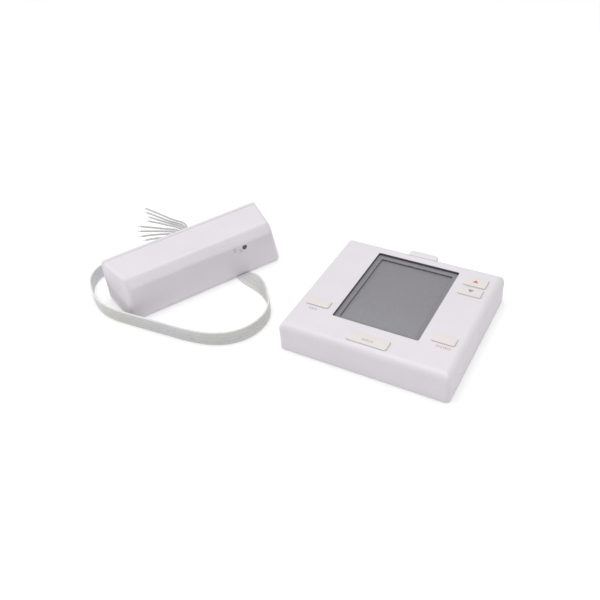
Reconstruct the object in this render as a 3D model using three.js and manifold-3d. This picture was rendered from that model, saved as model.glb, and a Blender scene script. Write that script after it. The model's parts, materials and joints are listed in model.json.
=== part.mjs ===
// Wireless programmable heating timer: a wall controller, and the receiver box with its ribbon lead.
// Millimetres. The origin is the centre of the wall plate's back face. +Z points out of the wall,
// +X to the controller's right and +Y to its top.
import * as THREE from 'three';
import { ConvexGeometry } from 'three/addons/geometries/ConvexGeometry.js';
import { mergeVertices } from 'three/addons/utils/BufferGeometryUtils.js';
import Module from 'manifold-3d';

const wasm = await Module();
wasm.setup();

// Controller, over all
const WIDTH = 120;
const HEIGHT = 109.4;
const DEPTH = 22;
const CORNER = 3.1;
const FILLET = 5.2;
const WALL = 2.2;
const GAP = 0.3; // clearance between pieces that fit into each other
const WALL_CLEARANCE = 0.4; // the controller's rim stays this far off the wall
const HALF_HEIGHT = HEIGHT / 2;
const FACE_UNDERSIDE = DEPTH - WALL;

// Display
const DISPLAY = { width: 61, height: 76.5, x: -0.1, y: 6.45, radius: 1.2 };
const LINING = 0.9; // wall of the frame that lines the opening
const LEDGE = 2.4; // width of the frame's ledge inside the lining
const STACK = { window: [18.45, 18.95], panel: [16.8, 18.2], backlight: [15.6, 16.6] };

// Keys: cap size and centre
const KEYS = {
  up: { width: 16.2, height: 10.2, x: 44, y: 38.2 },
  down: { width: 16.2, height: 9, x: 44, y: 27.1 },
  system: { width: 15.6, height: 8, x: 44.8, y: -24.2 },
  hold: { width: 28, height: 9, x: 1.6, y: -44.6 },
  fan: { width: 17, height: 7.6, x: -44.5, y: -24 },
};
const KEY_PROUD = 1;
const FLANGE = { reach: 0.5, bottom: 18.5, top: 19.5 };

// Main board and what stands on it
const BOARD = { width: 108, height: 92, bottom: 13.9, top: 15.4 };
const SWITCH = { side: 6, plunger: 1.5, top: 17.1, plungerTop: 17.4 };
const SCREW_AT = { x: 53.4, y: 48.3 };
const POST_AT = { x: 38, y: 34 };

// Wall plate and its hooks
const PLATE = { width: 112, height: 101.6, thickness: 2.4 };
const HOOKS = [[-46, 8], [46, 8], [-30, -42], [30, -42]];
const HOOK = { width: 6, thickness: 2, top: 6, nose: 1.2 };

// Battery bay and its drawer
const BAY = { halfWidth: 25.3, inner: 28.9, outer: 52.2, floor: 1.6, wall: 1.2, top: 12.8 };
const DRAWER_FLOOR = 1.1;
const DRAWER_TOP = 13.2;
const LIP = { halfWidth: 10.3, inner: 50.9, outer: 57.3, bottom: 19.1, top: 21.9, radius: 2.4 };
const CELL = { radius: 5.25, length: 44.5, z: 8.35, y: [36.15, 47.15] };

// Receiver, in its own frame: x along it, y from its front to its back, z up
const RECEIVER = { x: -157.8, y: -12.8, turn: 61.2 };
const BOX = { halfDepth: 19, height: 35, corner: 2.8, wall: 2 };
// Half lengths: the ends narrow toward the front, and most of all toward its top edge
const ENDS = { frontBottom: 63.2, frontTop: 58, backBottom: 65.3, backTop: 65 };
const BASE_THICKNESS = 3.1;
const BASE_FRONT = BOX.halfDepth - BASE_THICKNESS;
const COVER_BACK = BASE_FRONT - 0.5;
const RECEIVER_SCREW = { x: 50, z: BOX.height / 2 };
const GROOVE = { from: 12.4, to: 36.4, depth: 1.8 }; // the lead passes under the box here
const LIGHT_AT = { x: 34, z: 24.8 };
const EXIT = { x: -28, z: 7.5 }; // the lead leaves the back of the box here
const RELAYS = [-30, -8, 14];

// Ribbon lead and its wires
const RIBBON = { width: 11.2, thickness: 1.4, conductors: 8, steps: 72, clearance: 0.1 };
const WIRE = { radius: 0.6, steps: 9, firstTurn: 1.5, laterTurn: 0.6 };

const COLOURS = {
  shell: [0xe7e3e9, 0.5, 0],
  key: [0xf0e7e0, 0.5, 0],
  frame: [0x55565a, 0.5, 0],
  window: [0xc9cdcc, 0.12, 0],
  glass: [0x8f9392, 0.25, 0],
  guide: [0xf2f3f0, 0.4, 0],
  rubber: [0x2a2a2c, 0.85, 0],
  board: [0x1f6b3a, 0.55, 0],
  chip: [0x1b1b1d, 0.6, 0],
  steel: [0xb9bcc0, 0.35, 1],
  copper: [0xb8743c, 0.4, 1],
  cell: [0x3c4a5c, 0.4, 0.2],
  relay: [0x22303a, 0.5, 0],
  lead: [0xdcdbd6, 0.55, 0],
  light: [0x3a1c1c, 0.3, 0],
};

const part = new THREE.Group();
const receiver = new THREE.Group();
receiver.position.set(RECEIVER.x, RECEIVER.y, 0);
receiver.rotation.z = THREE.MathUtils.degToRad(RECEIVER.turn);
part.add(receiver);

function solidOf(shape) {
  if (!shape.isBufferGeometry) return shape;
  const plain = shape.clone();
  plain.deleteAttribute('normal');
  plain.deleteAttribute('uv');
  const merged = mergeVertices(plain, 1e-4);
  return new wasm.Manifold(new wasm.Mesh({
    numProp: 3,
    vertProperties: new Float32Array(merged.attributes.position.array),
    triVerts: new Uint32Array(merged.index.array),
  }));
}

function join(first, ...others) {
  return others.reduce((sum, shape) => sum.add(solidOf(shape)), solidOf(first));
}

function cut(first, ...tools) {
  return tools.reduce((left, shape) => left.subtract(solidOf(shape)), solidOf(first));
}

function geometryOf(shape) {
  if (shape.isBufferGeometry) return shape;
  const mesh = shape.getMesh();
  const geometry = new THREE.BufferGeometry();
  geometry.setAttribute('position', new THREE.BufferAttribute(new Float32Array(mesh.vertProperties), 3));
  geometry.setIndex(new THREE.BufferAttribute(new Uint32Array(mesh.triVerts), 1));
  geometry.computeVertexNormals();
  return geometry;
}

function addPiece(name, shape, colour, group = part) {
  const [color, roughness, metalness] = COLOURS[colour];
  const material = new THREE.MeshStandardMaterial({ color, roughness, metalness });
  const mesh = new THREE.Mesh(geometryOf(shape), material);
  mesh.name = name;
  group.add(mesh);
}

function block(x0, x1, y0, y1, z0, z1) {
  const geometry = new THREE.BoxGeometry(x1 - x0, y1 - y0, z1 - z0);
  return geometry.translate((x0 + x1) / 2, (y0 + y1) / 2, (z0 + z1) / 2);
}

function outline(width, height, radius, x = 0, y = 0) {
  const dx = width / 2 - radius;
  const dy = height / 2 - radius;
  const quarter = Math.PI / 2;
  const shape = new THREE.Shape();
  shape.absarc(x + dx, y + dy, radius, 0, quarter);
  shape.absarc(x - dx, y + dy, radius, quarter, 2 * quarter);
  shape.absarc(x - dx, y - dy, radius, 2 * quarter, 3 * quarter);
  shape.absarc(x + dx, y - dy, radius, 3 * quarter, 4 * quarter);
  shape.closePath();
  return shape;
}

function slab(shape, z0, z1) {
  const settings = { depth: z1 - z0, bevelEnabled: false, curveSegments: 2 };
  return new THREE.ExtrudeGeometry(shape, settings).translate(0, 0, z0);
}

function rod(radius, z0, z1, x = 0, y = 0, sides = 16) {
  const geometry = new THREE.CylinderGeometry(radius, radius, z1 - z0, sides);
  return geometry.rotateX(Math.PI / 2).translate(x, y, (z0 + z1) / 2);
}

// A rounded outline's points at one height, drawn in by inset.
function level(size, inset, z, segments = 2) {
  const radius = Math.max(size.radius - inset, 0.4);
  const shape = outline(size.width - 2 * inset, size.height - 2 * inset, radius, size.x, size.y);
  return shape.getPoints(segments).map((point) => new THREE.Vector3(point.x, point.y, z));
}

// A slab whose top edge is rounded.
function crownedSlab(size, z0, z1, fillet, steps) {
  const points = level(size, 0, z0);
  for (let i = 0; i <= steps; i += 1) {
    const angle = (i / steps) * (Math.PI / 2);
    const inset = fillet * (1 - Math.cos(angle));
    points.push(...level(size, inset, z1 - fillet + fillet * Math.sin(angle)));
  }
  return new ConvexGeometry(points);
}

function corners(at) {
  return [[at.x, at.y], [-at.x, at.y], [-at.x, -at.y], [at.x, -at.y]];
}

function screw(headRadius, headHeight, shankRadius, length) {
  const profile = [
    [0, 0], [headRadius * 0.8, 0], [headRadius, headHeight * 0.4], [headRadius, headHeight],
    [shankRadius, headHeight], [shankRadius, length - 1], [0, length],
  ];
  return new THREE.LatheGeometry(profile.map(([r, z]) => new THREE.Vector2(r, z)), 12).rotateX(Math.PI / 2);
}

function addWallPlate() {
  const noseDepth = HOOK.thickness + HOOK.nose;
  let plate = solidOf(slab(outline(PLATE.width, PLATE.height, 3.5), 0, PLATE.thickness));
  const notch = BAY.halfWidth + BAY.wall + 0.7;
  plate = cut(plate, block(-notch, notch, BAY.inner - BAY.wall - 0.7, HALF_HEIGHT, -1, DEPTH));
  for (const side of [-1, 1]) plate = cut(plate, slab(outline(5, 13, 2.4, side * 40, -12), -1, DEPTH));
  for (const [x, y] of HOOKS) {
    const left = x - HOOK.width / 2;
    const right = x + HOOK.width / 2;
    plate = join(
      plate,
      block(left, right, y - HOOK.thickness / 2, y + HOOK.thickness / 2, 1, HOOK.top),
      block(left, right, y - HOOK.thickness / 2, y - HOOK.thickness / 2 + noseDepth, 4.9, HOOK.top),
    );
  }
  addPiece('wall_plate', plate, 'shell');
}

function addFrontCover() {
  const size = { width: WIDTH, height: HEIGHT, radius: CORNER, x: 0, y: 0 };
  const inside = outline(WIDTH - 2 * WALL, HEIGHT - 2 * WALL, CORNER - WALL);
  let cover = cut(crownedSlab(size, WALL_CLEARANCE, DEPTH, FILLET, 4), slab(inside, -1, FACE_UNDERSIDE));
  const { width, height, radius, x, y } = DISPLAY;
  cover = cut(cover, slab(outline(width, height, radius, x, y), 10, DEPTH + 1));
  for (const key of Object.values(KEYS)) {
    const opening = outline(key.width + 2 * GAP, key.height + 2 * GAP, 1.5, key.x, key.y);
    cover = cut(cover, slab(opening, 10, DEPTH + 1));
  }
  for (const [bossX, bossY] of corners(SCREW_AT)) {
    cover = join(cover, rod(3, 6.2, FACE_UNDERSIDE + 0.1, bossX, bossY, 12));
    cover = cut(cover, rod(1.4, 6, 16, bossX, bossY, 8));
  }
  const opening = BAY.halfWidth + 0.2;
  const notch = LIP.halfWidth + GAP;
  addPiece('front_cover', cut(
    cover,
    block(-opening, opening, 50, 56, BAY.floor, BOARD.bottom + 0.1),
    block(-notch, notch, LIP.inner - GAP, 56, BOARD.bottom - 1, DEPTH + 1),
  ), 'shell');
}

function addRearCase() {
  const bay = BAY.halfWidth + BAY.wall;
  const bayEnd = BAY.inner - BAY.wall;
  const inset = 2 * (WALL + GAP);
  let rear = join(
    slab(outline(WIDTH - inset, HEIGHT - inset, CORNER - WALL), 2.7, 3.9),
    block(-bay, bay, bayEnd, BAY.outer, WALL_CLEARANCE, BAY.top),
  );
  rear = cut(rear, block(-BAY.halfWidth, BAY.halfWidth, BAY.inner, 60, BAY.floor, DEPTH));
  for (const [x, y] of corners(SCREW_AT)) {
    rear = join(rear, rod(3.9, 2.7, 5.9, x, y, 12));
    rear = cut(rear, rod(2.9, 2, 4.5, x, y, 12), rod(1.5, 2, 7, x, y, 8));
  }
  for (const [x, y] of corners(POST_AT)) rear = join(rear, rod(2, 3, BOARD.bottom - 0.1, x, y, 8));
  for (const [x, y] of HOOKS) rear = cut(rear, block(x - 4, x + 4, y - 2, y + 3.4, 2, 5));
  addPiece('rear_case', rear, 'shell');
}

function addDisplay() {
  const { width, height, radius, x, y } = DISPLAY;
  const ring = (outer, inner, z0, z1) => cut(
    slab(outline(width - 2 * outer, height - 2 * outer, radius, x, y), z0, z1),
    slab(outline(width - 2 * inner, height - 2 * inner, radius * 0.6, x, y), z0 - 1, z1 + 1),
  );
  const lined = GAP + LINING;
  addPiece('display_frame', join(
    ring(-2.6, lined, 18.4, FACE_UNDERSIDE - GAP),
    ring(GAP, lined, 19, DEPTH - 0.3),
    ring(GAP + 0.2, lined + LEDGE, 19.2, FACE_UNDERSIDE),
  ), 'frame');
  const sheet = (inset, z0, z1) => slab(outline(width - 2 * inset, height - 2 * inset, 0.8, x, y), z0, z1);
  addPiece('display_window', sheet(lined + GAP, ...STACK.window), 'window');
  addPiece('display_panel', sheet(-0.6, ...STACK.panel), 'glass');
  addPiece('display_backlight', sheet(2.5, ...STACK.backlight), 'guide');
  addPiece('contact_strip', block(-26, 26, -32.1, -29.8, 15.5, 16.7), 'rubber');
}

function addMainBoard() {
  let board = solidOf(slab(outline(BOARD.width, BOARD.height, 1), BOARD.bottom, BOARD.top));
  for (const [x, y] of corners({ x: 54.5, y: 48 })) {
    board = cut(board, block(x - 7, x + 7, y - 7, y + 7, 10, 20));
  }
  addPiece('main_board', board, 'board');
  for (const [name, key] of Object.entries(KEYS)) {
    const half = SWITCH.side / 2;
    addPiece(`${name}_switch`, join(
      block(key.x - half, key.x + half, key.y - half, key.y + half, BOARD.top + 0.1, SWITCH.top),
      rod(SWITCH.plunger, SWITCH.top - 0.5, SWITCH.plungerTop, key.x, key.y, 12),
    ), 'chip');
  }
  const under = BOARD.bottom - 0.1;
  addPiece('controller_chip', block(-12, 2, -18, -4, under - 1.8, under), 'chip');
  addPiece('radio_module', block(14, 34, -20, -4, under - 2.6, under), 'board');
  addPiece('controller_antenna', new THREE.CylinderGeometry(1.6, 1.6, 26, 12)
    .rotateZ(Math.PI / 2).translate(22, 4, under - 2), 'copper');
  const sensor = new THREE.SphereGeometry(1.8, 12, 8).translate(-44, -37, under - 2.1);
  addPiece('temperature_sensor', sensor, 'chip');
  addPiece('clock_crystal', slab(outline(9, 3.6, 1.7, -26, -10), under - 3, under), 'steel');
}

function addKeys() {
  for (const [name, key] of Object.entries(KEYS)) {
    const size = { ...key, radius: 1.2 };
    const reach = 2 * FLANGE.reach;
    const flange = outline(key.width + reach, key.height + reach, 1.4, key.x, key.y);
    const cap = crownedSlab(size, FLANGE.top - 0.5, DEPTH + KEY_PROUD, 0.6, 2);
    addPiece(`${name}_button`, join(cap, slab(flange, FLANGE.bottom, FLANGE.top)), 'key');
  }
}

function addBatteryDrawer() {
  const floor = BAY.floor + GAP;
  const half = BAY.halfWidth - GAP;
  const back = BAY.inner + GAP;
  const front = HALF_HEIGHT;
  const lip = new THREE.Shape();
  const arcX = LIP.halfWidth - LIP.radius;
  const arcY = LIP.outer - LIP.radius;
  lip.moveTo(-LIP.halfWidth, LIP.inner);
  lip.lineTo(LIP.halfWidth, LIP.inner);
  lip.absarc(arcX, arcY, LIP.radius, 0, Math.PI / 2);
  lip.absarc(-arcX, arcY, LIP.radius, Math.PI / 2, Math.PI);
  lip.closePath();
  addPiece('battery_drawer', join(
    cut(
      block(-half, half, back, front, floor, DRAWER_TOP),
      block(-half + 1.4, half - 1.4, back + 1.2, front - 1.8, floor + DRAWER_FLOOR, DEPTH),
    ),
    block(-LIP.halfWidth, LIP.halfWidth, front - 1.8, front, DRAWER_TOP - 1, LIP.bottom + 1),
    slab(lip, LIP.bottom, LIP.top),
  ), 'shell');

  CELL.y.forEach((y, index) => {
    const direction = index === 0 ? 1 : -1;
    const end = CELL.length / 2;
    const profile = [
      [0, -end], [CELL.radius - 0.4, -end], [CELL.radius, -end + 0.4], [CELL.radius, end - 1.4],
      [CELL.radius - 0.5, end - 1], [1.9, end - 1], [1.9, end], [0, end],
    ];
    const cell = new THREE.LatheGeometry(profile.map(([r, along]) => new THREE.Vector2(r, along)), 20);
    addPiece(`battery_${index + 1}`, cell.rotateZ(-direction * Math.PI / 2).translate(0, y, CELL.z), 'cell');
  });
  addPiece('drawer_bridge', block(-23.4, -22.8, 32, 51.3, 4.5, 12), 'steel');
  addPiece('contact_positive', block(22.8, 23.4, 32, 40.3, 4.5, 12), 'steel');
  addPiece('contact_negative', block(22.8, 23.4, 43, 51.3, 4.5, 12), 'steel');
}

function addCaseScrews() {
  corners(SCREW_AT).forEach(([x, y], index) => {
    addPiece(`case_screw_${index + 1}`, screw(2.5, 1.3, 1.05, 11).translate(x, y, 2.9), 'steel');
  });
}

// One rounded section of the receiver's box at depth y, with its top, bottom and ends drawn in.
function boxSection(y, top, bottom, end, wall) {
  const share = (y + BOX.halfDepth) / (2 * BOX.halfDepth);
  const lowHalf = THREE.MathUtils.lerp(ENDS.frontBottom, ENDS.backBottom, share);
  const highHalf = THREE.MathUtils.lerp(ENDS.frontTop, ENDS.backTop, share);
  const low = bottom + wall;
  const high = BOX.height - top - wall;
  const shape = outline(2 * (lowHalf - end - wall), high - low, Math.max(BOX.corner - wall, 0.5));
  return shape.getPoints(2).map((point) => {
    const z = point.y + (low + high) / 2;
    return new THREE.Vector3(point.x * (1 - (1 - highHalf / lowHalf) * (z / BOX.height)), y, z);
  });
}

// The receiver's outer form, or with a wall its cavity, from its front to the given depth.
function boxForm(back, wall) {
  // Distance behind the front, then what the bevelled top, rounded bottom and rounded ends are drawn in by
  const edges = [
    [0, 7.7, 3.2, 2.8], [0.5, 6.6, 1.7, 1.5], [1.6, 5.1, 0.7, 0.6],
    [3.5, 2.8, 0, 0], [5.3, 0.8, 0, 0], [7, 0, 0, 0],
  ];
  const points = edges.flatMap(
    ([behind, ...drawn]) => boxSection(behind + wall - BOX.halfDepth, ...drawn, wall),
  );
  return new ConvexGeometry([...points, ...boxSection(back, 0, 0, 0, wall)]);
}

function rodAlongDepth(radius, y0, y1, x, z, sides = 16) {
  return new THREE.CylinderGeometry(radius, radius, y1 - y0, sides).translate(x, (y0 + y1) / 2, z);
}

function addReceiverCase() {
  const groove = block(GROOVE.from, GROOVE.to, -BOX.halfDepth - 1, BOX.halfDepth + 1, -1, GROOVE.depth);
  let cover = cut(boxForm(COVER_BACK, 0), boxForm(COVER_BACK + 1, BOX.wall));
  const grooveRoof = block(
    GROOVE.from - 2, GROOVE.to + 2, -BOX.halfDepth + 6, COVER_BACK, 1, GROOVE.depth + BOX.wall,
  );
  cover = cut(join(cover, grooveRoof), groove);
  for (const side of [-1, 1]) {
    cover = join(cover, rodAlongDepth(3.4, -17.5, COVER_BACK, side * RECEIVER_SCREW.x, RECEIVER_SCREW.z, 12));
    cover = cut(cover, rodAlongDepth(1.5, 2, 17, side * RECEIVER_SCREW.x, RECEIVER_SCREW.z, 8));
  }
  cover = cut(cover, rodAlongDepth(1.9, -20, -10, LIGHT_AT.x, LIGHT_AT.z, 16));
  addPiece('receiver_cover', cover, 'shell', receiver);

  const baseSection = (y) => boxSection(y, 0, 0, 0, 0);
  let base = solidOf(new ConvexGeometry([...baseSection(BASE_FRONT), ...baseSection(BOX.halfDepth)]));
  base = cut(base, groove, block(EXIT.x - 2.6, EXIT.x + 2.6, 10, 20, EXIT.z - 6.2, EXIT.z + 6.2));
  for (const side of [-1, 1]) {
    const { x, z } = RECEIVER_SCREW;
    base = cut(base, rodAlongDepth(1.6, 15, 20, side * x, z, 8), rodAlongDepth(3, 17.6, 20, side * x, z, 12));
    base = cut(base, rodAlongDepth(2.3, 15, 20, side * 58, 27, 12));
  }
  addPiece('receiver_base', base, 'shell', receiver);

  const screwShape = screw(2.6, 1.2, 1.1, 12).rotateX(Math.PI / 2);
  for (const [index, side] of [-1, 1].entries()) {
    const placed = screwShape.clone().translate(side * RECEIVER_SCREW.x, 18.8, RECEIVER_SCREW.z);
    addPiece(`receiver_screw_${index + 1}`, placed, 'steel', receiver);
  }
}

function addReceiverElectronics() {
  addPiece('receiver_board', block(-45, 45, 9.4, 11, 4.5, 31.5), 'board', receiver);
  RELAYS.forEach((x, index) => {
    const relay = slab(outline(19, 15.5, 0.8, x, 0), -15, 0).rotateX(Math.PI / 2);
    addPiece(`relay_${index + 1}`, relay.translate(0, -5.7, 19), 'relay', receiver);
  });
  addPiece('filter_capacitor', rodAlongDepth(4, -4, 9.2, 34, 13, 16), 'cell', receiver);
  addPiece('receiver_radio', block(27, 43, 7, 9.2, 20, 31), 'board', receiver);
  addPiece('receiver_antenna', new THREE.CylinderGeometry(1.5, 1.5, 24, 12)
    .rotateZ(Math.PI / 2).translate(-20, 6.6, 29.4), 'copper', receiver);
  addPiece('receiver_chip', block(-20, -8, 7.6, 9.2, 5.2, 10.4), 'chip', receiver);
  addPiece('ribbon_connector', block(-39, -17, 11.2, 14.4, 5, 13), 'chip', receiver);
  addPiece('status_light', join(
    rodAlongDepth(1.5, -9.5, -5.5, LIGHT_AT.x, LIGHT_AT.z, 12),
    rodAlongDepth(1.9, -6.2, -5.2, LIGHT_AT.x, LIGHT_AT.z, 12),
  ), 'light', receiver);
  addPiece('light_pipe', join(
    rodAlongDepth(1.5, -19.2, -10, LIGHT_AT.x, LIGHT_AT.z, 16),
    rodAlongDepth(2.2, -15.8, -14.6, LIGHT_AT.x, LIGHT_AT.z, 16),
  ), 'light', receiver);
}

// The lead's route in the receiver's frame: x, y, rise above its resting height, and roll,
// from 0 flat to 1 on edge
const GROMMET_END = 24;
const ROUTE = [
  [-28, GROMMET_END + GAP, 1.8, 1], [-28, 30, 1.4, 1], [-32, 39.1, 0.6, 1], [-40.8, 48.1, 0, 1],
  [-52.3, 50.9, 0, 1], [-63.6, 47.7, 0, 1], [-71.6, 39.1, 0, 1], [-75.4, 27.6, 0, 1],
  [-76.7, 16.1, 0, 1], [-75.8, 4.1, 0, 1], [-71.6, -7.4, 0, 1], [-64.8, -18.9, 0, 1],
  [-57.4, -30.7, 0, 1], [-48.8, -43.9, 0, 1], [-38, -60.5, 0, 1], [-27.2, -73.3, 0, 1],
  [-16.4, -80.9, 0, 1], [-5, -83.9, 0, 1], [7.2, -82.5, 0, 1], [17.8, -76.7, 0, 1],
  [24.6, -68.3, 0, 1], [28.1, -58.9, 0, 0.95], [29.8, -52.4, 0, 0.84], [30.6, -45.9, 0, 0.72],
  [30.7, -39.9, 0, 0.58], [30.3, -33.9, 0, 0.42], [29.9, -28.4, 0, 0.25], [29.6, -23.4, 0, 0.09],
  [29.4, -18.9, 0, 0], [28.8, -12.9, 0, 0], [26.8, -0.9, 0, 0], [23.6, 13.1, 0, 0],
  [20.4, 27.1, 0, 0], [18, 43.1, 0, 0], [17.2, 60.8, 0, 0],
];
const RIBBON_END = { x: 17.2, y: 61.1 };
// Each wire's route after the ribbon's end, in the receiver's frame
const WIRE_ROUTES = [
  [[23.3, 77.6], [17.6, 90.2], [12.5, 104.6], [5.2, 124.1]],
  [[20.8, 76.4], [14.8, 88.5], [9.4, 101.9], [3, 117.5]],
  [[18.7, 75.3], [12.8, 86.6], [7.5, 97.1], [2, 108.3]],
  [[16.5, 74.1], [10.6, 84.3], [5.1, 93.3], [-1.4, 102.7]],
  [[13.7, 72.4], [5.8, 81.1], [-2.6, 90.5], [-11.2, 99.7]],
  [[11.5, 70.3], [3.4, 78.1], [-5.1, 85.1], [-14.3, 92.1]],
  [[9.2, 68.1], [1.1, 74.3], [-7.7, 79.5], [-16.9, 83.8]],
  [[6.8, 65.3], [-0.6, 69.5], [-8.6, 73.1], [-16.4, 75.9]],
];

// A straight extrusion bent along the route, each section turned by the roll.
function ribbonGeometry() {
  const plan = new THREE.CatmullRomCurve3(ROUTE.map(([x, y]) => new THREE.Vector3(x, y, 0)));
  const lifts = new THREE.CatmullRomCurve3(ROUTE.map(([, , rise, roll]) => new THREE.Vector3(rise, roll, 0)));
  const bevel = RIBBON.thickness * 0.3;
  const x = RIBBON.width / 2;
  const y = RIBBON.thickness / 2;
  const section = new THREE.Shape([
    [x - bevel, -y], [x, -y + bevel], [x, y - bevel], [x - bevel, y],
    [-x + bevel, y], [-x, y - bevel], [-x, -y + bevel], [-x + bevel, -y],
  ].map(([a, b]) => new THREE.Vector2(a, b)));
  const settings = { depth: 1, steps: RIBBON.steps, bevelEnabled: false };
  const geometry = new THREE.ExtrudeGeometry(section, settings);
  const position = geometry.attributes.position;
  const vertical = new THREE.Vector3(0, 0, 1);
  for (let i = 0; i < position.count; i += 1) {
    const along = plan.getUtoTmapping(THREE.MathUtils.clamp(position.getZ(i), 0, 1));
    const lift = lifts.getPoint(along);
    const roll = THREE.MathUtils.clamp(lift.y, 0, 1) * (Math.PI / 2);
    const height = RIBBON.clearance + x * Math.sin(roll) + y * Math.cos(roll) + Math.max(lift.x, 0);
    const ahead = plan.getTangent(along);
    const side = new THREE.Vector3().crossVectors(ahead, vertical);
    const across = side.clone().multiplyScalar(Math.cos(roll)).addScaledVector(vertical, Math.sin(roll));
    const through = new THREE.Vector3().crossVectors(ahead, across);
    const point = plan.getPoint(along).setZ(height)
      .addScaledVector(across, position.getX(i))
      .addScaledVector(through, position.getY(i));
    position.setXYZ(i, point.x, point.y, point.z);
  }
  return geometry;
}

function addLead() {
  const { x, z } = EXIT;
  const grommetSection = (y, halfWidth, halfHeight) => [
    [halfWidth, halfHeight], [-halfWidth, halfHeight], [-halfWidth, -halfHeight], [halfWidth, -halfHeight],
  ].map(([dx, dz]) => new THREE.Vector3(x + dx, y, z + dz));
  const back = BOX.halfDepth + GAP;
  addPiece('cable_grommet', join(
    new ConvexGeometry([...grommetSection(back, 4.5, 7.2), ...grommetSection(GROMMET_END, 2.2, 6.4)]),
    new ConvexGeometry([
      ...grommetSection(COVER_BACK + GAP, 2.2, 5.8), ...grommetSection(back + 0.5, 2.2, 5.8),
    ]),
  ), 'lead', receiver);
  addPiece('ribbon_cable', ribbonGeometry(), 'lead', receiver);

  const section = new THREE.Shape();
  section.absarc(0, 0, WIRE.radius, 0, 2 * Math.PI);
  WIRE_ROUTES.forEach((route, index) => {
    const offset = (index - (RIBBON.conductors - 1) / 2) * (RIBBON.width / RIBBON.conductors);
    const turn = WIRE.firstTurn + WIRE.laterTurn * (RIBBON.conductors - 1 - index);
    const across = RIBBON_END.x - offset;
    const start = [[across, RIBBON_END.y], [across, RIBBON_END.y + turn]];
    const height = RIBBON.clearance + RIBBON.thickness / 2;
    const points = [...start, ...route].map(([px, py]) => new THREE.Vector3(px, py, height));
    const extrudePath = new THREE.CatmullRomCurve3(points);
    const settings = { steps: WIRE.steps, bevelEnabled: false, curveSegments: 4, extrudePath };
    addPiece(`wire_${index + 1}`, new THREE.ExtrudeGeometry(section, settings), 'lead', receiver);
  });
}

addWallPlate();
addFrontCover();
addRearCase();
addDisplay();
addMainBoard();
addKeys();
addBatteryDrawer();
addCaseScrews();
addReceiverCase();
addReceiverElectronics();
addLead();

export default part;
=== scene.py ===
"""Wireless programmable heating timer: the wall controller, and the receiver box with its ribbon lead.

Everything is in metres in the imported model's frame: the origin is the centre of the wall plate's back,
+Z points out of the wall and +Y to the controller's top. Small sizes are written in millimetres times MM.
"""

import json
import math

import bmesh
import bpy
from mathutils import Matrix, Vector


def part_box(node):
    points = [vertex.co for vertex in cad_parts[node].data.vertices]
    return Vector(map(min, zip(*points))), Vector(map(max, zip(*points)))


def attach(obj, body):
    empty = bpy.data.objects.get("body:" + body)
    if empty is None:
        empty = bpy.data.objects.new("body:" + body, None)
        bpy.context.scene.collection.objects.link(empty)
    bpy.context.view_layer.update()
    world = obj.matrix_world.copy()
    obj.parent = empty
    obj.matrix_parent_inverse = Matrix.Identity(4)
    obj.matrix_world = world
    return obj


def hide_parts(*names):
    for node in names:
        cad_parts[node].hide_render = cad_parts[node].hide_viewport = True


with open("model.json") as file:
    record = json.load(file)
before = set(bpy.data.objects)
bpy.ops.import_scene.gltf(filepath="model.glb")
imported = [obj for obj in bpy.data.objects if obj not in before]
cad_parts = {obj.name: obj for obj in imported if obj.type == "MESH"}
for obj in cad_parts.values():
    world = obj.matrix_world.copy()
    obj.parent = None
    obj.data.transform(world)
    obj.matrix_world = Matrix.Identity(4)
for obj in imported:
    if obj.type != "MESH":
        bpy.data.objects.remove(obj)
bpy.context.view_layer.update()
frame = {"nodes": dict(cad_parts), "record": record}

MM = 0.001
UP = Vector((0, 0, 1))
scene = bpy.context.scene

# ---------------------------------------------------------------- camera and lights

CAMERA_AZIMUTH = math.radians(32.9)
CAMERA_ELEVATION = math.radians(39.43)
CAMERA_ROLL = math.radians(-5.81)
CAMERA_DISTANCE = 0.5218
CAMERA_TARGET = Vector((-0.0724, -0.0043, 0))
CAMERA_LENS = 42.68
CAMERA_SENSOR = 36


def add_camera():
    """The camera, turned about the target by its azimuth and elevation, then rolled about its own view."""
    back = Vector((
        math.sin(CAMERA_AZIMUTH) * math.cos(CAMERA_ELEVATION),
        -math.cos(CAMERA_AZIMUTH) * math.cos(CAMERA_ELEVATION),
        math.sin(CAMERA_ELEVATION),
    ))
    level = (-back).cross(UP).normalized()
    raised = level.cross(-back)
    right = level * math.cos(CAMERA_ROLL) + raised * math.sin(CAMERA_ROLL)
    top = raised * math.cos(CAMERA_ROLL) - level * math.sin(CAMERA_ROLL)
    data = bpy.data.cameras.new("camera")
    data.lens = CAMERA_LENS
    data.sensor_width = CAMERA_SENSOR
    data.clip_start = 0.01
    data.clip_end = 50
    camera = bpy.data.objects.new("camera", data)
    camera.matrix_world = Matrix.Translation(CAMERA_TARGET + back * CAMERA_DISTANCE) @ Matrix(
        (right, top, back)
    ).transposed().to_4x4()
    scene.collection.objects.link(camera)
    scene.camera = camera


def add_area_light(name, place, target, size, power):
    """A square light at a place, turned toward its target."""
    data = bpy.data.lights.new(name, "AREA")
    data.shape = "SQUARE"
    data.size = size
    data.energy = power
    light = bpy.data.objects.new(name, data)
    light.location = place
    light.rotation_euler = (Vector(target) - Vector(place)).to_track_quat("-Z", "Y").to_euler()
    scene.collection.objects.link(light)


WORLD_STRENGTH = 0.44
OVERHEAD = {"place": (-0.05, 0, 1.5), "target": (-0.07, 0, 0), "size": 1.6, "power": 19.4}
FILL = {"place": (-1.5, -0.35, 0.4), "target": (-0.1, 0, 0), "size": 1.2, "power": 7}


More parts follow.
